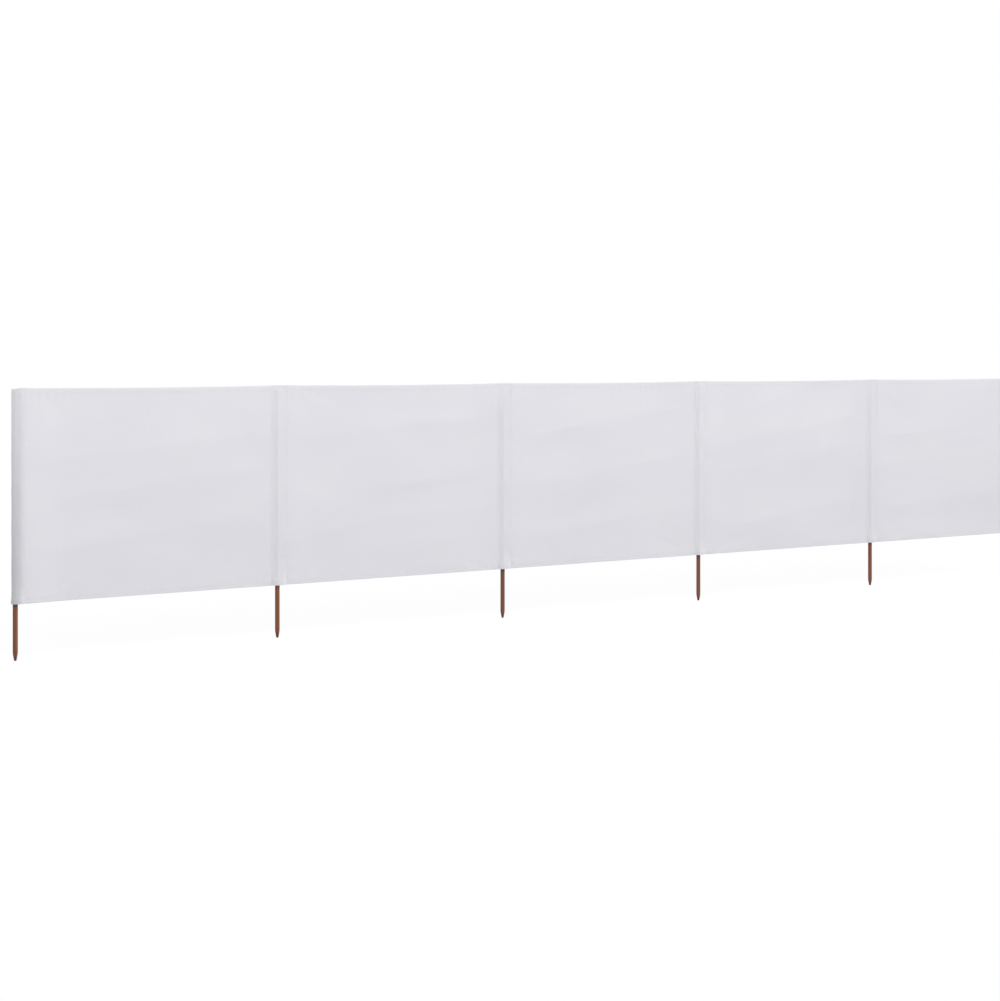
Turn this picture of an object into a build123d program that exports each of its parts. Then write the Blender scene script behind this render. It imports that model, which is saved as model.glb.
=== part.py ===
"""Beach windbreak: a run of cloth bays carried on pointed wooden poles.

Millimetres, +Z up. X runs along the cloth from the first pole to the last, and -Y is the front.
The origin is the centre of the flat foot of the first pole.
"""

import os

from build123d import *

# The whole screen
overall_length = 6000.0  # cloth from end fold to end fold
overall_height = 1200.0  # foot of a pole to the top edge of the cloth
leg_length = 250.0  # bare pole below the cloth
bay_count = 5

# Poles
pole_diameter = 22.0
foot_diameter = 10.0  # flat left at the end of the point
point_length = 32.0
point_shoulder_radius = 60.0  # eases the point into the round of the pole
pole_top_chamfer = 1.5

# Cloth
cloth = 0.8  # one layer
top_sag = 4.0  # dip of the top edge half way between two poles

# Sleeves that hold the poles
pocket_clearance = 0.3  # all round a pole, and over its top
pole_press = 4.0  # how far a pole pushes its sleeve out in front of the bays
near_stitch = 30.0  # pole axis to the stitch line on the side that an inner sleeve's pole leans to
far_stitch = 45.0  # pole axis to the other stitch line of an inner sleeve
end_sleeve_width = 50.0  # end fold to the stitch line of an end sleeve
seam_allowance = 8.0  # both layers lie flat together beyond a stitch line

# Hems, turned to the back
top_hem_width = 25.0
bottom_hem_width = 20.0
hem_layers = 2  # layers that a turned hem adds behind the cloth

# Worked out from the sizes above
pole_radius = pole_diameter / 2
foot_radius = foot_diameter / 2
pocket_radius = pole_radius + pocket_clearance
sleeve_radius = pocket_radius + cloth
cloth_y = pole_press - sleeve_radius + cloth / 2  # mid plane of the bays, in front of the pole axes
fold_radius = cloth / 2  # inside of the cloth where a pocket closes at its stitch line
closed_radius = hem_layers * cloth  # half depth of a sleeve's top, sewn flat
hem_thickness = hem_layers * cloth
sleeve_top = overall_height - top_hem_width  # the pocket ends where the hem begins
pole_length = sleeve_top - pocket_clearance
pole_spacing = (overall_length - 2 * sleeve_radius) / bay_count
pole_count = bay_count + 1
end_reach = end_sleeve_width - sleeve_radius


def pole_x(index):
    """Where a pole stands along the screen."""
    return index * pole_spacing


def stitch_offsets(index):
    """Stitch lines of one sleeve, measured from its pole: one at an end sleeve, else two."""
    if index == 0:
        return [end_reach]
    if index == pole_count - 1:
        return [-end_reach]
    return [-near_stitch, far_stitch]


def pocket_outline(centre, radius, lip, offsets):
    """Cloth drawn tight from a round form of the given radius to each stitch line."""
    with Locations(centre):
        Circle(radius)
    with Locations(*[(offset, cloth_y) for offset in offsets]):
        Circle(lip)
    make_hull()


def make_pole(index):
    """A round pole with a blunt point below and a broken edge on top."""
    upright = Plane(origin=(pole_x(index), 0, 0), x_dir=(1, 0, 0), z_dir=(0, -1, 0))
    with BuildPart() as pole:
        with BuildSketch(upright):
            with BuildLine():
                Polyline(
                    (0, 0),
                    (foot_radius, 0),
                    (pole_radius, point_length),
                    (pole_radius, pole_length),
                    (0, pole_length),
                    close=True,
                )
            make_face()
        revolve(axis=Axis((pole_x(index), 0, 0), (0, 0, 1)))
        edges_up = pole.edges().filter_by(GeomType.CIRCLE).sort_by(Axis.Z)
        fillet(edges_up[1], radius=point_shoulder_radius)
        chamfer(pole.edges().filter_by(GeomType.CIRCLE).sort_by(Axis.Z)[-1], length=pole_top_chamfer)
    return pole.part


def make_sleeve(index):
    """A cloth pocket round one pole: open below, sewn flat at the top, stitched to its bays."""
    offsets = stitch_offsets(index)
    at_pole = Plane(origin=(pole_x(index), 0, 0))
    outer_lip = fold_radius + cloth
    # An end sleeve closes against its own end fold, an inner one in line with its pole.
    closed_x = 0 if len(offsets) > 1 else (closed_radius - sleeve_radius) * offsets[0] / end_reach
    with BuildPart() as sleeve:
        with BuildSketch(at_pole.offset(leg_length)):
            pocket_outline((0, 0), sleeve_radius, outer_lip, offsets)
        extrude(amount=sleeve_top - leg_length)
        with BuildSketch(at_pole.offset(sleeve_top)):
            pocket_outline((0, 0), sleeve_radius, outer_lip, offsets)
        with BuildSketch(at_pole.offset(overall_height)):
            pocket_outline((closed_x, cloth_y), closed_radius, outer_lip, offsets)
        loft()
        with BuildSketch(at_pole.offset(leg_length)):
            for offset in offsets:
                side = offset / abs(offset)
                with Locations((offset + side * seam_allowance / 2, cloth_y)):
                    Rectangle(seam_allowance, 2 * cloth)
        extrude(amount=overall_height - leg_length)
        with BuildSketch(at_pole.offset(leg_length)):
            pocket_outline((0, 0), pocket_radius, fold_radius, offsets)
        extrude(amount=sleeve_top - leg_length, mode=Mode.SUBTRACT)
    return sleeve.part


def bay_edges(bay):
    """Left and right edges of the single cloth between two sleeves."""
    left = pole_x(bay) + stitch_offsets(bay)[-1] + seam_allowance
    right = pole_x(bay + 1) + stitch_offsets(bay + 1)[0] - seam_allowance
    return left, right


def dipped_edge(bay, height):
    """An edge across one bay that dips half way between its poles."""
    left, right = bay_edges(bay)
    return ThreePointArc((left, height), ((left + right) / 2, height - top_sag), (right, height))


def make_panel(bay):
    """One bay of cloth, straight below and dipped along its top."""
    left, right = bay_edges(bay)
    with BuildPart() as panel:
        with BuildSketch(Plane.XZ.offset(-cloth_y)):
            with BuildLine():
                top = dipped_edge(bay, overall_height)
                Polyline(top @ 0, (left, leg_length), (right, leg_length), top @ 1)
            make_face()
        extrude(amount=cloth / 2, both=True)
    return panel.part


def make_top_hem(bay):
    """The cloth's top edge turned over to the back, following its dip."""
    with BuildPart() as hem:
        with BuildSketch(Plane.XZ.offset(-cloth_y - cloth / 2)):
            with BuildLine():
                low = dipped_edge(bay, sleeve_top)
                high = dipped_edge(bay, overall_height)
                Line(low @ 0, high @ 0)
                Line(low @ 1, high @ 1)
            make_face()
        extrude(amount=-hem_thickness)
    return hem.part


def make_bottom_hem(bay):
    """The cloth's bottom edge turned over to the back."""
    left, right = bay_edges(bay)
    with BuildPart() as hem:
        with BuildSketch(Plane.XZ.offset(-cloth_y - cloth / 2)):
            with Locations(((left + right) / 2, leg_length + bottom_hem_width / 2)):
                Rectangle(right - left, bottom_hem_width)
        extrude(amount=-hem_thickness)
    return hem.part


def save(part, name):
    """Label one piece and write it as its own file."""
    part.label = name
    export_step(part, f"parts/{name}.step")


os.makedirs("parts", exist_ok=True)

for index in range(pole_count):
    save(make_pole(index), f"pole_{index + 1}")
    save(make_sleeve(index), f"pole_sleeve_{index + 1}")

for bay in range(bay_count):
    save(make_panel(bay), f"cloth_panel_{bay + 1}")
    save(make_top_hem(bay), f"top_hem_{bay + 1}")
    save(make_bottom_hem(bay), f"bottom_hem_{bay + 1}")
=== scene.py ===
"""Looks of the beach windbreak: sewn cloth bays, pole sleeves, stitching, stained poles, light and camera.

Metres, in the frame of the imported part: X along the screen, -Y its front, Z up from the feet of the poles.
"""

import math

import bpy
import numpy as np
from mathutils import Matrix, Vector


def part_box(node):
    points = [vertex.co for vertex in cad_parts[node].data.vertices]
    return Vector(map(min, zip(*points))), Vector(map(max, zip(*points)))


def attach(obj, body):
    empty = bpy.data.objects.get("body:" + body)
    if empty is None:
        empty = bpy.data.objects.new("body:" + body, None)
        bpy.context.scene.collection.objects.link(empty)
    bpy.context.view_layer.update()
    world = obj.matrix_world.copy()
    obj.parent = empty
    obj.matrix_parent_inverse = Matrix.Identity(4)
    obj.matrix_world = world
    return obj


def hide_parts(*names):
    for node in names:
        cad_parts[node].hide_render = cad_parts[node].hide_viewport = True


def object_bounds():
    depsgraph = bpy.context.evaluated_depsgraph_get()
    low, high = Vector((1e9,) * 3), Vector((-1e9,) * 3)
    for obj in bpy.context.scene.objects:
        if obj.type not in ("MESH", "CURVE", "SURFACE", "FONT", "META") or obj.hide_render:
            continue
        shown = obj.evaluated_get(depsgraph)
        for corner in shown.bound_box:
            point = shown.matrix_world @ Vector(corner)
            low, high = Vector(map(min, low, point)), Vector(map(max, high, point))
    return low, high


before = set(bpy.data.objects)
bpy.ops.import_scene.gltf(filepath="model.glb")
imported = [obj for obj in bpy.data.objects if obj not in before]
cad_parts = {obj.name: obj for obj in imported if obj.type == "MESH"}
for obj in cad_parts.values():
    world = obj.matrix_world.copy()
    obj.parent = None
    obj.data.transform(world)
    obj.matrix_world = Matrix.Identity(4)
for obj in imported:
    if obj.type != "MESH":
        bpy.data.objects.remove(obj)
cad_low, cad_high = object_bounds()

scene = bpy.context.scene
panel_low, panel_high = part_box("cloth_panel_1")
pole_low, pole_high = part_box("pole_1")
top_hem_low, top_hem_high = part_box("top_hem_1")
bottom_hem_low, bottom_hem_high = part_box("bottom_hem_1")

# Sizes read from the frame
POLES = sum(1 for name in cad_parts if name.startswith("pole_") and "sleeve" not in name)
BAYS = POLES - 1
SCREEN_CENTRE = (cad_low.x + cad_high.x) / 2
CLOTH_LOW = panel_low.z
CLOTH_HEIGHT = panel_high.z - panel_low.z
PLANE = (panel_low.y + panel_high.y) / 2  # mid plane of the bays, in front of the pole axes
POLE_TOP = pole_high.z
POLE_RADIUS = (pole_high.x - pole_low.x) / 2
BOTTOM_HEM = bottom_hem_high.z - bottom_hem_low.z

# Sewing
TOP_HEM = 0.025
TOP_SAG = top_hem_high.z - top_hem_low.z - TOP_HEM  # dip of a bay's top edge
SEAM = 0.008  # a sleeve's flat edge beyond its stitch line
LAYER = 0.0006  # from one layer of cloth to the next
SLEEVE_RADIUS = POLE_RADIUS + LAYER
TURN_UNDER = 0.006  # raw edge folded in under a hem or strip
HEM_STITCH = 0.002  # stitch line to the edge of what it holds
HEM_LINES = (BOTTOM_HEM - HEM_STITCH, CLOTH_HEIGHT - TOP_HEM + HEM_STITCH)  # heights of the hems' stitches
SLEEVE_CLOSE = 0.007  # top edge to the line that closes a sleeve
SLEEVE_LINES = (BOTTOM_HEM - HEM_STITCH, CLOTH_HEIGHT - SLEEVE_CLOSE)  # stitches that run round a sleeve

# Thread: each stitch is a short bar through four rings
STITCH_LENGTH = 0.0040
STITCH_GAP = 0.0012
THREAD_RADIUS = 0.00032
RING_PLACE_SHARES = np.array([0.0, 0.2, 0.8, 1.0])  # along a stitch
RING_RADIUS_SHARES = np.array([0.5, 1.0, 1.0, 0.5])  # of the thread's radius
RING_LIFT_SHARES = np.array([-0.6, 0.5, 0.5, -0.6])  # of the thread's radius, out of the cloth
RING_SIDES = 4

# Random waves
SEED = 7
SLEEVE_SEED = 100 * SEED
WAVES = 5
WAVE_PITCH_SHARES = (0.7, 1.8)  # of a ripple's own pitch

# Lines in each bay along which the cloth is tight from pole to pole, and the hollows between them
PULLS = 3
PULL_SHIFT_SHARE = 0.25  # of their spacing, up or down
PULL_RISE = (0.07, 0.16)  # from the left end of a line to its right end
PULL_WANDER = 0.008
PULL_WANDER_PITCH = 0.5
HOLLOW_SHARE = 0.0095  # how far the cloth falls back between two such lines, to their distance
HOLLOW_CHANGE_SHARE = 0.5  # of that depth, along the bay
HOLLOW_PITCH = 0.7
FOLD_FADE = 0.14  # from a seam to the full depth of hollows and folds

# Soft folds along the pull, and short ones that run out of each corner of a bay
FOLDS = 8
FOLD_SPAN_SHARES = (0.1, 0.9)  # of the bay's width, where their middles lie
FOLD_SLOPE_DEGREES = (9, 7)  # mean and spread
FOLD_REACH = (0.22, 0.5)
FOLD_HALF_WIDTH = (0.035, 0.085)
FOLD_DEPTH = (0.0008, 0.0022)
CORNER_FOLDS = 3
CORNER_SLOPE_DEGREES = (12, 50)
CORNER_DISTANCE = (0.10, 0.17)  # to the middle of a fold
CORNER_REACH = (0.07, 0.12)
CORNER_HALF_WIDTH = (0.012, 0.022)
CORNER_DEPTH = (0.0004, 0.0009)

# Puckers beside the stitch lines, and the form of the hems
PUCKER_DEPTH = 0.0004
PUCKER_REACH = 0.022
PUCKER_FADE = 0.006
SEAM_PUCKER_PITCH = 0.030
HEM_PUCKER_PITCH = 0.026
GROOVE_DEPTH = 0.00016  # along a hem's stitches
GROOVE_FADE = 0.01
HEM_ROLL = 0.0012  # top edge leans back and bottom edge forward, over the width of their hems
HEM_ROLL_FADE = 0.05

# Where the seams of the sleeves lie
END_LIFT = 0.0095  # the loose end sleeves hold the cloth forward of the other bays
END_LIFT_LOSS = 0.65  # part of that lift that is gone at the top
END_LIFT_SHARES = (0.3, 1.0)  # of the cloth's height, over which it goes
TOP_LIFT = 0.003  # inner seams come forward near the top, where the hem is tight over the pole
TOP_LIFT_SHARES = (0.8, 0.97)  # of the cloth's height, over which they do
TIGHT_SHARES = (0.3, 1.0)  # of that lift, at every other inner sleeve
SEAM_EASE = 0.18  # width over which a bay comes forward to its seams

# Form of the sleeves
FLANK_POWER = 1.4  # cloth hollows between an inner sleeve's left seam and its pole: 1 is straight
END_SPARE = 0.005  # how far an end sleeve's fold stands out beyond its pole
END_ROUND_LOSS = 0.65  # an end sleeve's front is an ellipse below, and this much flatter at the top
END_ROUND_SHARES = (0.35, 0.95)  # of the cloth's height, over which it flattens
END_TURN_SHARES = (0.7, 1.0)  # of the way to the fold, over which the front layer turns to the back
SLACK = 0.0010  # long waves where a sleeve is off its pole
SLACK_PITCH = 0.16
SLACK_RADII = (1, 2)  # pole radii from the axis, over which they grow
CREEP = 0.0002  # short waves all over a sleeve
CREEP_PITCH = 0.07
FREE_REACH = 0.009  # from a stitch line to cloth that is free to move
MOUTH_FLARE = 0.005  # a sleeve's open mouth stands off its pole
MOUTH_REACH = 0.09
MOUTH_EASE = 0.024  # from a stitch line to the full flare
SWELL_ENDS = (-0.002, 0.012)  # about the top of a sleeve's hem, where its layers stop swelling the cloth
HELD_HEM_SHARE = 0.2  # of a hem's inset, where stitches hold the layers together
HEM_EASE = 0.004  # height over which a strip comes off the bays' hems
FLAT_LOSS = 0.93  # part of a sleeve's depth that is gone where it is sewn flat
FLAT_EASE = 0.001  # the cloth starts to close this far below the top of the pole
TOP_EDGE = 3 * LAYER  # height over which the two layers close at the top edge
CORNER_DROOP = 0.004  # outer top corner of an end sleeve
DROOP_GAP = 0.002  # the droop starts this far above the top of the pole

# Painted shade on the sleeves, standing for the pole's shadow through the cloth and the shade round the end
# folds, by the way from the stitch line to the fold and by height
PAINTED_SHADE_SHARE = 0.26  # depth of the painted shade on the end sleeves
INNER_SHADE_SHARE = 0.08  # of that, on the sleeves between two bays
FULL_SHADE_SHARE = 0.52  # of the way to the fold, where the painted shade is full
FOLD_SHADE_SHARES = (0.45, 0.9)  # of the way to the fold, over which the fold's own painted shade begins
HIGH_SHADE_LOSS = 0.40  # at the top of a sleeve
HIGH_FOLD_SHADE_LOSS = 0.3  # at the top of a fold
LOW_FOLD_SHADE = 0.6  # added at the low end of a fold

# Mesh steps
COLUMN_STEP = 0.0075
ROW_STEP = 0.0075
FINE_STEP = 0.0016
FINE_REACH = 0.008  # each side of a spot that needs fine steps
SLEEVE_FINE_REACH = 0.03
FRONT_POINTS = 44  # across the front layer of an inner sleeve
LOOP_POINTS = 76  # round an end sleeve or across a back strip
ARC_POINTS = 40  # round a pole
TURN_POINTS = 5  # round the fold of a raw edge
FOLD_POINTS = 6  # round an edge fold
FLAP_POINTS = 3  # along a raw edge turned under
HEM_POINTS = 7  # across the back of a hem
SLEEVE_HEM_POINTS = 6  # up the hem inside a sleeve's mouth
HEM_LINE_POINTS = 400
SEAM_LINE_POINTS = 300

# Camera: a level view, fitted to the pole feet and cloth edges of the photo
PHOTO_HEIGHT_PX = 1001
FOCAL_PX = 1464
HORIZON_ABOVE_CENTRE_PX = 147
CAMERA_PLACE = (-0.919, -6.725, 1.352)
CAMERA_YAW = math.radians(26.1)
SENSOR_MM = 36.0


def smoothstep(low, high, value):
    """0 below low, 1 above high, eased between."""
    t = np.clip((value - low) / (high - low), 0, 1)
    return t * t * (3 - 2 * t)


def bell(value):
    """1 at zero, with a soft fall on both sides."""
    return np.exp(-(value ** 2))


def bow(share):
    """0 at both ends, 1 half way."""
    return 4 * share * (1 - share)


def ripple(rng, length):
    """A smooth random function of one length, between about -1 and 1."""
    pitch = length * rng.uniform(*WAVE_PITCH_SHARES, WAVES)
    phase = rng.uniform(0, 2 * math.pi, WAVES)

    def value(t):
        return sum(np.sin(2 * math.pi * t / p + q) for p, q in zip(pitch, phase)) / math.sqrt(2 * WAVES)

    return value


def pole_x(index):
    """Axis of a pole, counted from 0."""
    low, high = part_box(f"pole_{index + 1}")
    return (low.x + high.x) / 2


def stitch_lines(index):
    """X of a sleeve's stitch lines, left and right of its pole; None at an end fold."""
    low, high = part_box(f"pole_sleeve_{index + 1}")
    left = None if index == 0 else low.x + SEAM
    right = None if index == POLES - 1 else high.x - SEAM
    return left, right


def seam_y(index, v):
    """Y of a sleeve's seams at each height: forward at an end sleeve, and near the top of an inner one."""
    share = np.asarray(v) / CLOTH_HEIGHT
    if index in (0, POLES - 1):
        return PLANE - END_LIFT * (1 - END_LIFT_LOSS * smoothstep(*END_LIFT_SHARES, share))
    tight_share = TIGHT_SHARES[(index - 1) % len(TIGHT_SHARES)]
    return PLANE - TOP_LIFT * tight_share * smoothstep(*TOP_LIFT_SHARES, share)


def graded(start, stop, step, fine_spots, reach=FINE_REACH):
    """Even steps from start to stop, with finer ones near the spots."""
    count = max(2, round((stop - start) / step) + 1)
    parts = [np.linspace(start, stop, count)]
    for spot in fine_spots:
        low, high = max(start, spot - reach), min(stop, spot + reach)
        parts.append(np.linspace(low, high, max(2, round((high - low) / FINE_STEP) + 1)))
    values = np.sort(np.concatenate(parts))
    closest = FINE_STEP / 3
    keep = np.concatenate([[True], np.diff(values) > closest])
    values = values[keep]
    values[-1] = stop
    return values


def running_length(*coordinates):
    """Length along a path, from its first point."""
    steps = np.sqrt(sum(np.diff(c) ** 2 for c in coordinates))
    return np.concatenate([[0], np.cumsum(steps)])


def add_object(name, data):
    """A new object in the scene."""
    thing = bpy.data.objects.new(name, data)
    scene.collection.objects.link(thing)
    return thing


def smooth_piece(name, points, quads):
    """A new piece with a smooth mesh."""
    mesh = bpy.data.meshes.new(name)
    mesh.from_pydata(points.tolist(), [], quads.tolist())
    mesh.polygons.foreach_set("use_smooth", np.ones(len(quads), bool))
    return add_object(name, mesh)


def cloth_piece(name, points, flat, painted_shade=0.0):
    """A piece of cloth over a grid of points, with its flat coordinates as its UV map, and its painted shade.
    """
    rows, columns = points.shape[:2]
    index = np.arange(rows * columns).reshape(rows, columns)
    quads = np.stack([index[:-1, :-1], index[:-1, 1:], index[1:, 1:], index[1:, :-1]], -1).reshape(-1, 4)
    piece = smooth_piece(name, points.reshape(-1, 3), quads)
    mesh = piece.data
    mesh.uv_layers.new(name="flat").data.foreach_set("uv", flat.reshape(-1, 2)[quads.ravel()].ravel())
    # painted shade of the cloth, stored on its points
    shade_values = np.broadcast_to(painted_shade, (rows, columns)).ravel()
    mesh.attributes.new("painted_shade", "FLOAT", "POINT").data.foreach_set("value", shade_values)
    return piece


class BayShape:
    """The settled front of one bay over flat coordinates: u from its left seam, v from its low edge."""

    def __init__(self, bay):
        rng = np.random.default_rng(SEED + bay)
        self.bay = bay
        self.left = stitch_lines(bay)[1]
        self.width = stitch_lines(bay + 1)[0] - self.left
        self.rise = rng.uniform(*PULL_RISE)
        shift = rng.uniform(-PULL_SHIFT_SHARE, PULL_SHIFT_SHARE, PULLS)
        self.pulls = (np.arange(PULLS) + 1 + shift) * CLOTH_HEIGHT / (PULLS + 1)
        self.wander = [ripple(rng, PULL_WANDER_PITCH) for _ in range(PULLS)]
        self.slack = [ripple(rng, HOLLOW_PITCH) for _ in range(PULLS + 1)]
        self.folds = [self.pull_fold(rng) for _ in range(FOLDS)]
        for corner_u in (0, self.width):
            for corner_v in (0, CLOTH_HEIGHT):
                self.folds += [self.corner_fold(rng, corner_u, corner_v) for _ in range(CORNER_FOLDS)]
        self.pucker_left = ripple(rng, SEAM_PUCKER_PITCH)
        self.pucker_right = ripple(rng, SEAM_PUCKER_PITCH)
        self.pucker_low = ripple(rng, HEM_PUCKER_PITCH)
        self.pucker_high = ripple(rng, HEM_PUCKER_PITCH)

    def pull_fold(self, rng):
        """A long soft ridge, nearly level, as the pull between two poles makes it."""
        centre = (rng.uniform(*FOLD_SPAN_SHARES) * self.width, rng.uniform(0, 1) * CLOTH_HEIGHT)
        angle = math.radians(rng.normal(*FOLD_SLOPE_DEGREES))
        reach = (rng.uniform(*FOLD_REACH), rng.uniform(*FOLD_HALF_WIDTH))
        return centre, angle, reach, rng.choice([-1, 1]) * rng.uniform(*FOLD_DEPTH)

    def corner_fold(self, rng, corner_u, corner_v):
        """A short ridge that runs out of a corner towards the middle of the bay."""
        lean = math.radians(rng.uniform(*CORNER_SLOPE_DEGREES))
        side_u = 1 if corner_u == 0 else -1
        side_v = 1 if corner_v == 0 else -1
        angle = math.atan2(side_v * math.sin(lean), side_u * math.cos(lean))
        distance = rng.uniform(*CORNER_DISTANCE)
        centre = (corner_u + distance * math.cos(angle), corner_v + distance * math.sin(angle))
        reach = (rng.uniform(*CORNER_REACH), rng.uniform(*CORNER_HALF_WIDTH))
        return centre, angle, reach, rng.choice([-1, 1]) * rng.uniform(*CORNER_DEPTH)

    def hollows(self, u, v):
        """How far the cloth falls back between its hems and the rising lines where it is tight."""
        tilt = self.rise * (u / self.width - 0.5)
        pulls = [pull + tilt + PULL_WANDER * wander(u) for pull, wander in zip(self.pulls, self.wander)]
        lines = [0, *pulls, CLOTH_HEIGHT]
        y = 0
        for low, high, slack in zip(lines, lines[1:], self.slack):
            share = np.clip((v - low) / (high - low), 0, 1)
            y = y + HOLLOW_SHARE * (high - low) * bow(share) * (1 + HOLLOW_CHANGE_SHARE * slack(u))
        return y

    def ridges(self, u, v):
        """How far back the folds stand."""
        y = 0
        for (centre_u, centre_v), angle, (reach, half_width), depth in self.folds:
            along = (u - centre_u) * math.cos(angle) + (v - centre_v) * math.sin(angle)
            across = (v - centre_v) * math.cos(angle) - (u - centre_u) * math.sin(angle)
            y = y + depth * np.exp(-((along / reach) ** 2) - (across / half_width) ** 2)
        return y

    def puckers(self, u, v):
        """Small waves beside the seams and hems."""
        y = bell(u / PUCKER_REACH) * self.pucker_left(v)
        y = y + bell((self.width - u) / PUCKER_REACH) * self.pucker_right(v)
        y = y + bell((v - BOTTOM_HEM) / PUCKER_REACH) * self.pucker_low(u)
        y = y + bell((v - CLOTH_HEIGHT + TOP_HEM) / PUCKER_REACH) * self.pucker_high(u)
        return PUCKER_DEPTH * y

    def depth(self, u, v):
        """How far back the cloth stands."""
        from_side = np.minimum(u, self.width - u)
        y = (self.hollows(u, v) + self.ridges(u, v)) * smoothstep(0, FOLD_FADE, from_side)
        y = y + self.puckers(u, v) * smoothstep(0, PUCKER_FADE, from_side)
        low_share = np.clip(1 - v / BOTTOM_HEM, 0, 1)
        high_share = np.clip(1 - (CLOTH_HEIGHT - v) / TOP_HEM, 0, 1)
        y = y + HEM_ROLL * (high_share ** 2 - low_share ** 2) * smoothstep(0, HEM_ROLL_FADE, from_side)
        grooves = sum(bell((v - line) / FINE_STEP) for line in HEM_LINES)
        y = y + GROOVE_DEPTH * grooves * smoothstep(0, GROOVE_FADE, from_side)
        off_left = smoothstep(0, SEAM_EASE, u)
        off_right = smoothstep(0, SEAM_EASE, self.width - u)
        y = y + seam_y(self.bay, v) * (1 - off_left) + seam_y(self.bay + 1, v) * (1 - off_right)
        return y + PLANE * (off_left + off_right - 1)

    def place(self, u, v, back=0.0):
        """Points of the cloth, or of a layer that far behind it, and their directions to the back."""
        u, v, back = np.broadcast_arrays(u, v, back)
        step = FINE_STEP / 2
        slope_u = (self.depth(u + step, v) - self.depth(u - step, v)) / (2 * step)
        slope_v = (self.depth(u, v + step) - self.depth(u, v - step)) / (2 * step)
        normal = np.stack([-slope_u, np.ones_like(slope_u), -slope_v], -1)
        normal /= np.linalg.norm(normal, axis=-1, keepdims=True)
        dip = TOP_SAG * bow(u / self.width) * np.clip(v / CLOTH_HEIGHT, 0, 1)
        point = np.stack([self.left + u, self.depth(u, v), CLOTH_LOW + v - dip], -1)
        return point + normal * back[..., None], normal


def turned_hem(width):
    """Path of a hem from its raw edge to its edge fold: height above the fold, distance behind the front."""
    turn = np.linspace(-math.pi / 2, math.pi / 2, TURN_POINTS)
    edge = np.linspace(math.pi / 2, math.pi * 3 / 2, FOLD_POINTS)
    inner = width - LAYER / 2
    flap = np.linspace(width - TURN_UNDER, inner, FLAP_POINTS)[:-1]
    back = np.linspace(inner, LAYER, HEM_POINTS)[1:-1]
    height = [flap, inner + np.cos(turn) * LAYER / 2, back, LAYER + np.cos(edge) * LAYER]
    behind = [
        np.full(len(flap), LAYER),
        LAYER * 1.5 + np.sin(turn) * LAYER / 2,
        np.full(len(back), LAYER * 2),
        LAYER + np.sin(edge) * LAYER,
    ]
    return np.concatenate(height), np.concatenate(behind)


def make_bay(bay, shape):
    """The cloth of one bay in one piece, its top and bottom edges turned to the back as hems."""
    low_v, low_back = turned_hem(BOTTOM_HEM)
    high_v, high_back = turned_hem(TOP_HEM)
    front_v = graded(LAYER, CLOTH_HEIGHT - LAYER, ROW_STEP, HEM_LINES)[1:-1]
    v = np.concatenate([low_v, front_v, (CLOTH_HEIGHT - high_v)[::-1]])
    back = np.concatenate([low_back, np.zeros(len(front_v)), high_back[::-1]])
    u = graded(0, shape.width, COLUMN_STEP, (0, shape.width))
    points, _ = shape.place(u[None, :], v[:, None], back[:, None])
    along = running_length(v, back)
    flat = np.stack(np.broadcast_arrays(shape.left + u[None, :], along[:, None]), -1)
    piece = cloth_piece(f"bay_cloth_{bay + 1}", points, flat)
    return piece, (shape.width, along[-1])


def even_path(points, count):
    """The same path with points at even steps along its first two coordinates."""
    length = running_length(*points[:, :2].T)
    even = np.linspace(0, length[-1], count)
    return np.stack([np.interp(even, length, column) for column in points.T], -1)


def over_pole(start, stop, first_angle, last_angle, behind):
    """Cloth drawn tight from one point, round a pole, to the next, and how far behind its seam it closes."""
    angles = np.linspace(first_angle, last_angle, ARC_POINTS)
    arc = SLEEVE_RADIUS * np.stack([np.cos(angles), np.sin(angles)], -1)
    whole = np.concatenate([[start], arc, [stop]])
    return np.column_stack([whole, np.full(len(whole), behind)])


def tangents(stitch, y):
    """Angles round a pole at which cloth from a stitch line meets it, in front and behind."""
    towards = math.atan2(y, stitch)
    half = math.acos(SLEEVE_RADIUS / math.hypot(stitch, y))
    side = 1 if stitch > 0 else -1
    return towards - side * half, towards + side * half


def strip_edge(stitch, y, side):
    """A strip's flat edge beyond its stitch line, with the raw edge turned under, seen from above."""
    end = stitch + side * (SEAM - LAYER / 2)
    turn = np.linspace(-math.pi / 2, math.pi / 2, TURN_POINTS)
    x = [end - side * TURN_UNDER, *(end + side * np.cos(turn) * LAYER / 2), stitch + side * LAYER]
    behind = np.array([LAYER, *(LAYER * 1.5 + np.sin(turn) * LAYER / 2), LAYER * 2])
    return np.stack([x, y + behind, behind], -1)


def inner_paths(left, right, y):
    """Front layer and back strip of an inner sleeve seen from above, drawn tight over the pole."""
    back_y = y + LAYER * 2
    left_front, left_back = tangents(left, y)
    right_front, right_back = tangents(right, y)
    front = even_path(over_pole((left, y), (right, y), left_front, right_front, 0), FRONT_POINTS)
    x = front[:, 0]
    hollow = y - (SLEEVE_RADIUS + y) * np.clip(1 - x / left, 0, 1) ** FLANK_POWER
    round_front = -np.sqrt(np.clip(SLEEVE_RADIUS ** 2 - x ** 2, 0, None))
    front[:, 1] = np.where(x < 0, np.minimum(hollow, round_front), front[:, 1])
    back = over_pole((right, back_y), (left, back_y), right_back, left_back + 2 * math.pi, LAYER * 2)
    strip = np.concatenate([strip_edge(right, y, 1), back, strip_edge(left, y, -1)[::-1]])
    return front, even_path(strip, LOOP_POINTS)


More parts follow.
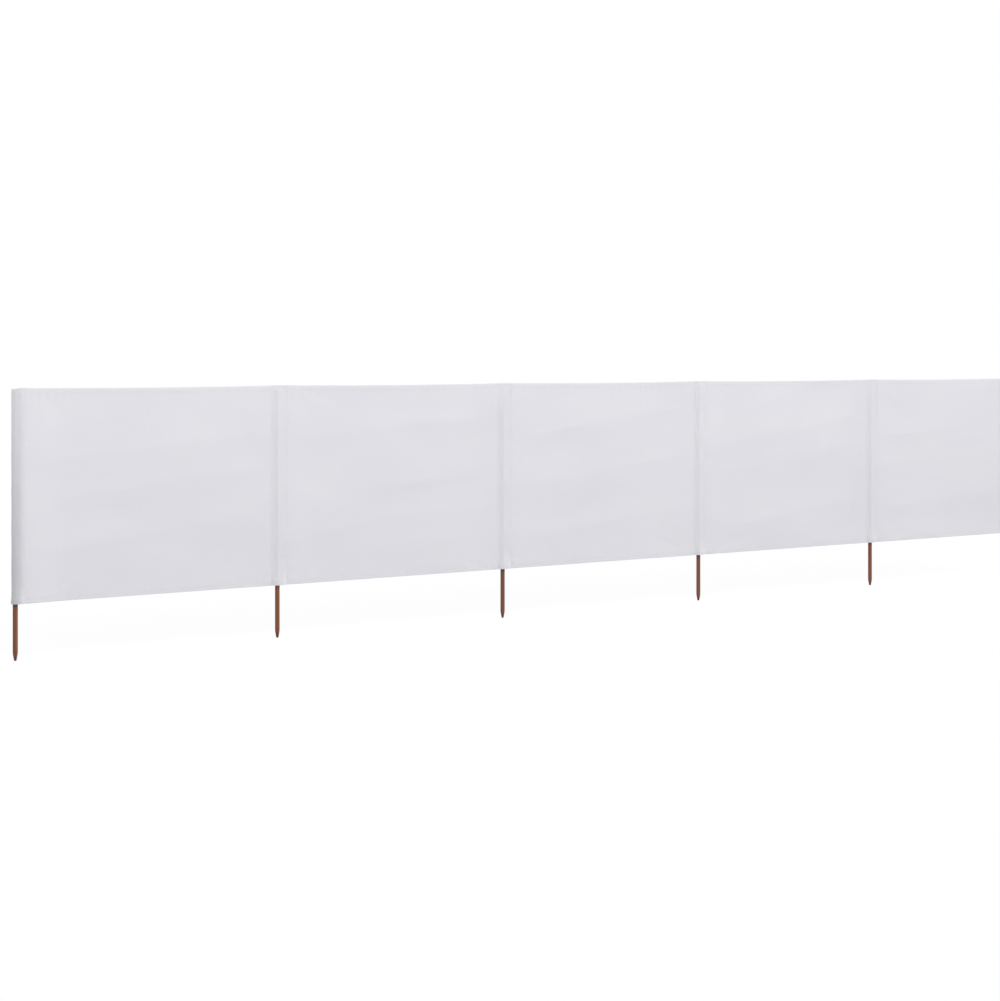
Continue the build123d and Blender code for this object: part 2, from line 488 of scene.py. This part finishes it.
def end_path(reach, y, roundness):
    """Loop of an end sleeve seen from above, its seam to the right: loose in front, tight behind the pole."""
    fold = SLEEVE_RADIUS + END_SPARE
    front_angle, back_angle = tangents(reach, y)
    tight = over_pole((reach, y), (-SLEEVE_RADIUS, 0), front_angle, -math.pi, 0)
    turn = np.linspace(0, math.pi / 2, ARC_POINTS)
    x = reach - (reach + fold) * np.sin(turn)
    loose = np.minimum(y * np.cos(turn) ** roundness, np.interp(x, tight[::-1, 0], tight[::-1, 1]))
    front = np.stack([x, loose, LAYER * smoothstep(*END_TURN_SHARES, np.sin(turn))], -1)
    from_fold = -math.pi - math.acos(SLEEVE_RADIUS / fold)
    back = over_pole((-fold, 0), (reach, y + LAYER * 2), from_fold, back_angle - 2 * math.pi, LAYER * 2)
    return even_path(np.concatenate([front, back[1:], strip_edge(reach, y, 1)[::-1]]), LOOP_POINTS)


def sleeve_paths(index, left, right, v):
    """Paths of a sleeve's cloth at each height, relative to its pole."""
    if left is not None and right is not None:
        rows = [inner_paths(left, right, y) for y in seam_y(index, v)]
        return [np.stack(layer) for layer in zip(*rows)]
    roundness = 1 - END_ROUND_LOSS * smoothstep(*END_ROUND_SHARES, v / CLOTH_HEIGHT)
    loops = np.stack([end_path(abs(right or left), *row) for row in zip(seam_y(index, v), roundness)])
    return [loops[:, ::-1] if left is None else loops * (-1, 1, 1)]


def sleeve_rows():
    """Heights and insets of a sleeve's rows: down its inner hem, round the bottom fold and up to the top."""
    fold = np.linspace(math.pi / 2, math.pi * 3 / 2, FOLD_POINTS)
    inner = np.linspace(BOTTOM_HEM, LAYER, SLEEVE_HEM_POINTS)[:-1]
    fine_spots = (BOTTOM_HEM, CLOTH_HEIGHT)
    outer = graded(LAYER, CLOTH_HEIGHT, ROW_STEP, fine_spots, SLEEVE_FINE_REACH)[1:]
    v = np.concatenate([inner, LAYER + np.cos(fold) * LAYER, outer])
    insets = [np.full(len(inner), 2 * LAYER), LAYER + np.sin(fold) * LAYER, np.zeros(len(outer))]
    return v, np.concatenate(insets)


def fullness(v):
    """How round a sleeve is at each height, full along its pole and flat above, and how open its top is."""
    closed = 1 - FLAT_LOSS * smoothstep(POLE_TOP - CLOTH_LOW - FLAT_EASE, CLOTH_HEIGHT - SLEEVE_CLOSE, v)
    return closed, np.sqrt(np.clip((CLOTH_HEIGHT - v) / TOP_EDGE, 0, 1))


def in_hems(v):
    """1 at the heights of the bays' hems, 0 between them."""
    above_low = smoothstep(BOTTOM_HEM, BOTTOM_HEM + HEM_EASE, v)
    below_high = 1 - smoothstep(-HEM_EASE, 0, v - CLOTH_HEIGHT + TOP_HEM)
    return 1 - above_low * below_high


def sleeve_shade(to_fold, pocket, v, at_end):
    """Painted shade on a sleeve's cloth, for the pole's shadow through it and the shade of its fold: most at
    the low end of an end fold, little between two bays.
    """
    height_share = (v / CLOTH_HEIGHT)[:, None]
    at_fold = smoothstep(*FOLD_SHADE_SHARES, to_fold)
    # painted shade, darker towards the bottom of the sleeve
    pocket_shade = smoothstep(0, FULL_SHADE_SHARE, to_fold) * pocket * (1 if at_end else INNER_SHADE_SHARE)
    painted_shade = pocket_shade * (1 - HIGH_SHADE_LOSS * height_share) * (1 - HIGH_FOLD_SHADE_LOSS * at_fold * height_share)
    return painted_shade + LOW_FOLD_SHADE * at_fold * pocket * at_end * (1 - np.clip(height_share, 0, 1)) ** 2


def lines_round(points, pocket, v, inset):
    """The stitch lines that run round a sleeve, with the directions out of the cloth."""
    for height in SLEEVE_LINES:
        row = np.argmin(np.abs(v - height) + inset)
        line = points[row][pocket[row]]
        way = np.gradient(line, axis=0)
        out = np.stack([way[:, 1], -way[:, 0], np.zeros(len(way))], -1)
        yield line, out / np.linalg.norm(out, axis=1, keepdims=True)


def make_sleeve(index):
    """The cloth round one pole, open below and closed on top: front layer and strip, or one loop at an end.

    Gives each piece of cloth with its cut size, and the stitch lines that run round the sleeve.
    """
    rng = np.random.default_rng(SLEEVE_SEED + index)
    slack, creep = ripple(rng, SLACK_PITCH), ripple(rng, CREEP_PITCH)
    axis = pole_x(index)
    left, right = (None if line is None else line - axis for line in stitch_lines(index))
    at_end = left is None or right is None
    v, inset = sleeve_rows()
    seam = seam_y(index, v)[:, None]
    closed, edge = (share[:, None] for share in fullness(v))
    swell_low, swell_high = (BOTTOM_HEM + end for end in SWELL_ENDS)
    swell = 2 * LAYER * (1 - smoothstep(swell_low, swell_high, v))[:, None]
    flare = MOUTH_FLARE * (1 - smoothstep(0, MOUTH_REACH, v))[:, None]
    over_top = smoothstep(POLE_TOP - CLOTH_LOW + DROOP_GAP, CLOTH_HEIGHT, v)[:, None]
    slack_low, slack_high = (radii * POLE_RADIUS for radii in SLACK_RADII)
    pieces, runs = [], []
    for layer, paths in enumerate(sleeve_paths(index, left, right, v)):
        path_x, path_y, behind = np.moveaxis(paths, -1, 0)
        tangent = np.gradient(paths[..., :2], axis=1)
        tangent /= np.linalg.norm(tangent, axis=-1, keepdims=True)
        away = np.min([np.abs(path_x - line) for line in (left, right) if line is not None], axis=0)
        to_fold = away / away.max()
        inside_left = True if left is None else path_x >= left
        inside_right = True if right is None else path_x <= right
        pocket = inside_left & inside_right
        free = smoothstep(0, FREE_REACH, away) * pocket
        far = smoothstep(slack_low, slack_high, np.hypot(path_x, path_y)) * free
        mouth = flare * smoothstep(0, MOUTH_EASE, away) * pocket
        loose = SLACK * slack(v)[:, None] * far + CREEP * creep(v)[:, None] * free
        push = swell * free - inset[:, None] * np.maximum(free, HELD_HEM_SHARE) + loose
        x = path_x + tangent[..., 1] * push
        out_y = path_y - tangent[..., 0] * (push + mouth) - seam - behind
        under_hem = 2 * LAYER * in_hems(v)[:, None] * (behind > LAYER / 2) * (1 - free)
        y = seam + (behind + under_hem + out_y * closed) * edge
        droop = CORNER_DROOP * smoothstep(0, 1, to_fold) * pocket * at_end * over_top
        points = np.stack([axis + x, y, CLOTH_LOW + v[:, None] - droop], -1)
        along, up = running_length(*paths[0, :, :2].T), running_length(v, inset)
        flat = np.stack(np.broadcast_arrays(axis + along[None, :], up[:, None]), -1)
        name = f"sleeve_{index + 1}" if layer == 0 else f"sleeve_strip_{index + 1}"
        piece = cloth_piece(name, points, flat, sleeve_shade(to_fold, pocket, v, at_end))
        pieces.append((piece, (along[-1], up[-1])))
        runs += lines_round(points, pocket, v, inset)
    return pieces, runs


def make_stitching(name, runs):
    """Rows of thread stitches. Each run is points along a line and the directions out of the cloth there."""
    rings = len(RING_PLACE_SHARES)
    turn = np.arange(RING_SIDES)[:, None] * 2 * math.pi / RING_SIDES
    points, quads = [], []
    first = 0
    for line, out in runs:
        length = running_length(*line.T)
        count = int(length[-1] / (STITCH_LENGTH + STITCH_GAP))
        start = (np.arange(count) + 0.5) * length[-1] / count - STITCH_LENGTH / 2
        spots = start[:, None] + RING_PLACE_SHARES * STITCH_LENGTH
        centre = np.stack([np.interp(spots, length, line[:, i]) for i in range(3)], -1)
        up = np.stack([np.interp(spots, length, out[:, i]) for i in range(3)], -1)
        way = centre[:, -1:] - centre[:, :1]
        across = np.cross(way, up)
        across /= np.linalg.norm(across, axis=-1, keepdims=True)
        centre = centre + up * (THREAD_RADIUS * RING_LIFT_SHARES)[:, None]
        ring = across[:, :, None] * np.cos(turn) + up[:, :, None] * np.sin(turn)
        ring = ring * (THREAD_RADIUS * RING_RADIUS_SHARES)[:, None, None]
        points.append((centre[:, :, None] + ring).reshape(-1, 3))
        index = first + np.arange(count * rings * RING_SIDES).reshape(count, rings, RING_SIDES)
        wrapped = np.roll(index, -1, axis=2)
        skin = np.stack([index[:, :-1], index[:, 1:], wrapped[:, 1:], wrapped[:, :-1]], -1)
        quads += [skin.reshape(-1, 4), index[:, 0], index[:, -1, ::-1]]
        first += index.size
    return smooth_piece(name, np.concatenate(points), np.concatenate(quads))


def hem_stitching(bay, shape):
    """Stitches along both hems of a bay, on the front and on the turned hem behind."""
    u = np.linspace(HEM_STITCH, shape.width - HEM_STITCH, HEM_LINE_POINTS)
    runs = []
    for line in HEM_LINES:
        front, to_back = shape.place(u, line)
        behind, _ = shape.place(u, line, 2 * LAYER)
        runs += [(front, -to_back), (behind, to_back)]
    return make_stitching(f"hem_stitching_{bay + 1}", runs)


def sleeve_stitching(index, runs):
    """Stitches along the lines that run round a sleeve, and down its seams in front and behind."""
    v = np.linspace(HEM_STITCH, CLOTH_HEIGHT - HEM_STITCH, SEAM_LINE_POINTS)
    for line in stitch_lines(index):
        if line is None:
            continue
        for back, out in ((0.0, -1.0), (2 * LAYER * (1 + in_hems(v)), 1.0)):
            points = np.stack(np.broadcast_arrays(line, seam_y(index, v) + back, CLOTH_LOW + v), -1)
            runs.append((points, np.broadcast_to((0.0, out, 0.0), points.shape)))
    return make_stitching(f"sleeve_stitching_{index + 1}", runs)


class Nodes:
    """Short calls for building the node tree of a material or of the world."""

    def __init__(self, owner, shader_name="Principled BSDF", output_name="Material Output"):
        owner.use_nodes = True
        self.owner = owner
        self.tree = owner.node_tree
        self.shader = self.tree.nodes[shader_name]
        self.surface = self.tree.nodes[output_name].inputs["Surface"]

    def add(self, kind, inputs=(), **settings):
        """A new node with its settings, and with values or links on its named inputs."""
        node = self.tree.nodes.new(kind)
        for key, value in settings.items():
            setattr(node, key, value)
        for key, value in dict(inputs).items():
            self.join(value, node.inputs[key])
        return node

    def join(self, value, socket):
        """Links an output to a socket, or sets the socket's own value."""
        if isinstance(value, bpy.types.NodeSocket):
            self.tree.links.new(value, socket)
        else:
            socket.default_value = value

    def math(self, operation, *values):
        """A Math node's output."""
        return self.add("ShaderNodeMath", enumerate(values), operation=operation).outputs[0]

    def weighted(self, first, second, first_share):
        """Two values added by their shares."""
        rest = self.math("MULTIPLY", second, 1 - first_share)
        return self.math("ADD", self.math("MULTIPLY", first, first_share), rest)

    def noise(self, vector, scale, detail=2.0, roughness=0.5):
        """A Noise texture's value."""
        inputs = {"Vector": vector, "Scale": scale, "Detail": detail, "Roughness": roughness}
        return self.add("ShaderNodeTexNoise", inputs).outputs["Fac"]

    def stretched(self, vector, scale):
        """The vector with each axis scaled."""
        return self.add("ShaderNodeMapping", {"Vector": vector, "Scale": scale}).outputs["Vector"]

    def ranged(self, value, low, high, from_low=0.0, from_high=1.0):
        """The value carried over to the range from low to high."""
        inputs = {"Value": value, "From Min": from_low, "From Max": from_high, "To Min": low, "To Max": high}
        return self.add("ShaderNodeMapRange", inputs).outputs["Result"]

    def ramp(self, value, stops):
        """A colour ramp over (position, colour) stops, the lowest and highest first."""
        node = self.add("ShaderNodeValToRGB", {"Fac": value})
        for i, (position, colour) in enumerate(stops):
            element = node.color_ramp.elements[i] if i < 2 else node.color_ramp.elements.new(position)
            element.position = position
            element.color = (*colour, 1.0)
        return node.outputs["Color"]

    def mixed(self, blend, share, first, second):
        """A Mix node's colour."""
        inputs = {"Factor": share, "A": first, "B": second}
        return self.add("ShaderNodeMix", inputs, data_type="RGBA", blend_type=blend).outputs["Result"]

    def bump(self, height, distance, strength=1.0, normal=None):
        """A Bump node's normal."""
        inputs = {"Height": height, "Distance": distance, "Strength": strength}
        if normal is not None:
            inputs["Normal"] = normal
        return self.add("ShaderNodeBump", inputs).outputs["Normal"]

    def seen_rays(self):
        """1 for rays from the camera, off a gloss or through glass, 0 for rays that light something."""
        path = self.add("ShaderNodeLightPath").outputs
        mirrored = self.math("MAXIMUM", path["Is Glossy Ray"], path["Is Transmission Ray"])
        return self.math("MAXIMUM", path["Is Camera Ray"], mirrored)

    def set(self, **values):
        """Values or links on the shader's inputs, with _ for a space in their names."""
        for key, value in values.items():
            self.join(value, self.shader.inputs[key.replace("_", " ")])

    def mix_surface(self, share, other):
        """Gives a second shader a share of the surface."""
        mix = self.add("ShaderNodeMixShader", {0: share, 1: self.shader.outputs[0], 2: other})
        self.tree.links.new(mix.outputs["Shader"], self.surface)


def cloth_material():
    """Pale grey plain-weave polyester: yarns, slubs, slow changes of tone, painted shade on the sleeves and a
    faint sheen.
    """
    yarn_width = 0.0007
    slub_along, slub_across = 6.0, 420.0  # scales along and across a yarn
    tone_scale = (1.6, 3.2, 1.0)
    tone_share = 0.55  # of the colour's change, and the rest by slubs
    dark, pale = (0.740, 0.731, 0.767), (0.787, 0.782, 0.811)
    shade_colour = (0.28, 0.27, 0.28, 1.0)
    shade_least, shade_change = 0.7, 0.6  # the painted shade is blotched by the tone
    yarn_height, yarn_strength = 0.00008, 0.6
    slub_height, slub_strength = 0.00020, 0.35
    smooth, rough = 0.78, 0.92
    light_through = 0.03

    n = Nodes(bpy.data.materials.new("windbreak_cloth"))
    flat = n.add("ShaderNodeUVMap", uv_map="flat").outputs["UV"]
    split = n.add("ShaderNodeSeparateXYZ", {"Vector": n.stretched(flat, (1 / yarn_width, 1 / yarn_width, 1))})
    across, up = split.outputs["X"], split.outputs["Y"]
    warp = n.math("ABSOLUTE", n.math("SINE", n.math("MULTIPLY", across, math.pi)))
    weft = n.math("ABSOLUTE", n.math("SINE", n.math("MULTIPLY", up, math.pi)))
    cell = n.math("ADD", n.math("FLOOR", across), n.math("FLOOR", up))
    over = n.math("ABSOLUTE", n.math("MODULO", cell, 2.0))
    under = n.math("SUBTRACT", 1.0, over)
    weave = n.math("ADD", n.math("MULTIPLY", warp, over), n.math("MULTIPLY", weft, under))
    slub_weft = n.noise(n.stretched(flat, (slub_along, slub_across, 1.0)), 1.0, detail=3.0)
    slub_warp = n.noise(n.stretched(flat, (slub_across, slub_along, 1.0)), 1.0, detail=3.0)
    slub = n.weighted(slub_weft, slub_warp, 0.5)
    tone = n.noise(n.stretched(flat, tone_scale), 1.0, detail=3.0)
    clean = n.ramp(n.weighted(tone, slub, tone_share), [(0.30, dark), (0.70, pale)])
    # painted shade from the sleeves darkens the cloth colour here
    painted_shade = n.add("ShaderNodeAttribute", attribute_name="painted_shade").outputs["Fac"]
    blotch = n.math("ADD", shade_least, n.math("MULTIPLY", tone, shade_change))
    shade_amount = n.math("MULTIPLY", n.math("MULTIPLY", painted_shade, PAINTED_SHADE_SHARE), blotch)
    colour = n.mixed("MIX", shade_amount, clean, shade_colour)
    normal = n.bump(slub, slub_height, slub_strength, n.bump(weave, yarn_height, yarn_strength))
    n.set(Base_Color=colour, Roughness=n.ranged(slub, smooth, rough), Normal=normal)
    n.set(Specular_IOR_Level=0.3, Sheen_Weight=0.12, Sheen_Roughness=0.5)
    through = n.add("ShaderNodeBsdfTranslucent", {"Color": colour, "Normal": normal}).outputs["BSDF"]
    n.mix_surface(light_through, through)
    return n.owner


def thread_material():
    """Pale twisted sewing thread."""
    fibre_scale, fibre_height = 5200.0, 0.0001
    dark, pale = (0.66, 0.655, 0.69), (0.80, 0.795, 0.82)

    n = Nodes(bpy.data.materials.new("sewing_thread"))
    place = n.add("ShaderNodeTexCoord").outputs["Object"]
    fibre = n.noise(place, fibre_scale)
    colour = n.ramp(fibre, [(0.3, dark), (0.7, pale)])
    n.set(Base_Color=colour, Roughness=0.6, Normal=n.bump(fibre, fibre_height), Sheen_Weight=0.1)
    return n.owner


def wood_material():
    """Round hardwood stained brown: long grain and pores, darker at the point, with painted shade from just
    below the sleeve's mouth up into it.
    """
    broad_scale, fine_scale = (120.0, 120.0, 2.2), (900.0, 900.0, 9.0)
    broad_share = 0.6  # of the grain's colour, and the rest by the fine grain
    dark, middle, pale = (0.088, 0.031, 0.014), (0.206, 0.072, 0.033), (0.31, 0.110, 0.050)
    point_length, point_level = 0.03, 0.25
    # painted shade of the sleeve's mouth on the pole: its length and darkest level
    mouth_shade_length, mouth_shade_level = 0.024, 0.5
    scuff_scale = (160.0, 160.0, 60.0)
    scuff_least, scuff_change = 0.85, 0.3
    broad_height, broad_strength = 0.0005, 0.4
    fine_height, fine_strength = 0.0003, 0.5
    smooth, rough = 0.42, 0.68

    n = Nodes(bpy.data.materials.new("stained_pole_wood"))
    place = n.add("ShaderNodeTexCoord").outputs["Object"]
    height = n.add("ShaderNodeSeparateXYZ", {"Vector": place}).outputs["Z"]
    broad = n.noise(n.stretched(place, broad_scale), 1.0, detail=4.0, roughness=0.6)
    fine = n.noise(n.stretched(place, fine_scale), 1.0, detail=4.0, roughness=0.65)
    stain = n.ramp(n.weighted(broad, fine, broad_share), [(0.30, dark), (0.72, pale), (0.52, middle)])
    point = n.ranged(height, point_level, 1.0, 0.0, point_length)
    # painted shadow of the sleeve's mouth on the top of the leg
    mouth_shade = n.ranged(height, 1.0, mouth_shade_level, CLOTH_LOW - mouth_shade_length, CLOTH_LOW)
    scuff = n.noise(n.stretched(place, scuff_scale), 1.0, detail=3.0)
    scuffed = n.math("ADD", scuff_least, n.math("MULTIPLY", scuff, scuff_change))
    level = n.math("MULTIPLY", n.math("MULTIPLY", point, mouth_shade), scuffed)
    colour = n.mixed("MULTIPLY", 1.0, stain, level)
    normal = n.bump(broad, broad_height, broad_strength)
    normal = n.bump(fine, fine_height, fine_strength, normal)
    n.set(Base_Color=colour, Roughness=n.ranged(fine, smooth, rough), Normal=normal)
    n.set(Specular_IOR_Level=0.4)
    return n.owner


def floor_material():
    """White floor that shows as the background and still takes a faint shadow."""
    white_strength = 1.10
    white_share = 0.8  # of what is seen, and the rest takes the shadow

    n = Nodes(bpy.data.materials.new("white_floor"))
    n.set(Base_Color=(0.62, 0.62, 0.63, 1.0), Roughness=0.9, Specular_IOR_Level=0.0)
    white = n.add("ShaderNodeEmission", {"Color": (1, 1, 1, 1), "Strength": white_strength})
    n.mix_surface(n.math("MULTIPLY", n.seen_rays(), white_share), white.outputs["Emission"])
    return n.owner


def make_floor():
    """A wide floor under the feet of the poles."""
    reach = 60.0
    sides = ((-1, -1), (1, -1), (1, 1), (-1, 1))
    mesh = bpy.data.meshes.new("floor")
    mesh.from_pydata([(SCREEN_CENTRE + x * reach, y * reach, 0) for x, y in sides], [], [(0, 1, 2, 3)])
    mesh.materials.append(floor_material())
    add_object("floor", mesh)


def make_world():
    """Soft light from all round, and a white background for the camera."""
    scene.world = bpy.data.worlds.new("studio")
    n = Nodes(scene.world, "Background", "World Output")
    n.set(Color=(0.97, 0.98, 1.0, 1.0), Strength=0.45)
    white = n.add("ShaderNodeBackground", {"Color": (1, 1, 1, 1)})
    n.mix_surface(n.seen_rays(), white.outputs["Background"])


def add_lamp(name, kind, energy, tilt, yaw, **settings):
    """A lamp that points straight down, tilted to the back and then turned about the upright, in degrees."""
    light = bpy.data.lights.new(name, kind)
    light.energy = energy
    for key, value in settings.items():
        setattr(light, key, value)
    lamp = add_object(name, light)
    lamp.rotation_euler = (math.radians(tilt), 0, math.radians(yaw))
    return lamp


def make_lights():
    """A broad key from the upper right in front, a weaker fill behind, a long soft box above the front."""
    strip_front, strip_height = 1.7, 2.7
    add_lamp("key", "SUN", energy=1.56, tilt=52, yaw=56, angle=math.radians(90))
    add_lamp("fill", "SUN", energy=0.95, tilt=-50, yaw=30, angle=math.radians(120))
    strip = add_lamp("strip", "AREA", energy=58.0, tilt=45, yaw=0, shape="RECTANGLE", size=12.0, size_y=1.2)
    strip.location = (SCREEN_CENTRE, -strip_front, strip_height)
    strip.visible_camera = False


def make_camera():
    """The photo's level view, with the frame shifted down from the horizon."""
    data = bpy.data.cameras.new("camera")
    data.sensor_width = SENSOR_MM
    data.lens = SENSOR_MM * FOCAL_PX / PHOTO_HEIGHT_PX
    data.shift_y = -HORIZON_ABOVE_CENTRE_PX / PHOTO_HEIGHT_PX
    camera = add_object("camera", data)
    camera.location = CAMERA_PLACE
    camera.rotation_euler = (math.pi / 2, 0, -CAMERA_YAW)
    scene.camera = camera


def finish_piece(piece, material):
    """Gives a piece its material and lets it ride with the part."""
    piece.data.materials.append(material)
    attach(piece, "root")
    return piece


cloth, thread, wood = cloth_material(), thread_material(), wood_material()

for bay in range(BAYS):
    shape = BayShape(bay)
    piece, cut = make_bay(bay, shape)
    finish_piece(piece, cloth)
    sewn = finish_piece(hem_stitching(bay, shape), thread)
    number = bay + 1
    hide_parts(f"cloth_panel_{number}", f"top_hem_{number}", f"bottom_hem_{number}")

for index in range(POLES):
    pieces, runs = make_sleeve(index)
    sewn = finish_piece(sleeve_stitching(index, runs), thread)
    for piece, cut in pieces:
        finish_piece(piece, cloth)
        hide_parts(f"pole_sleeve_{index + 1}")
    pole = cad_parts[f"pole_{index + 1}"]
    pole.data.materials.clear()
    pole.data.materials.append(wood)

make_floor()
make_world()
make_lights()
make_camera()
scene.view_settings.view_transform = "Standard"
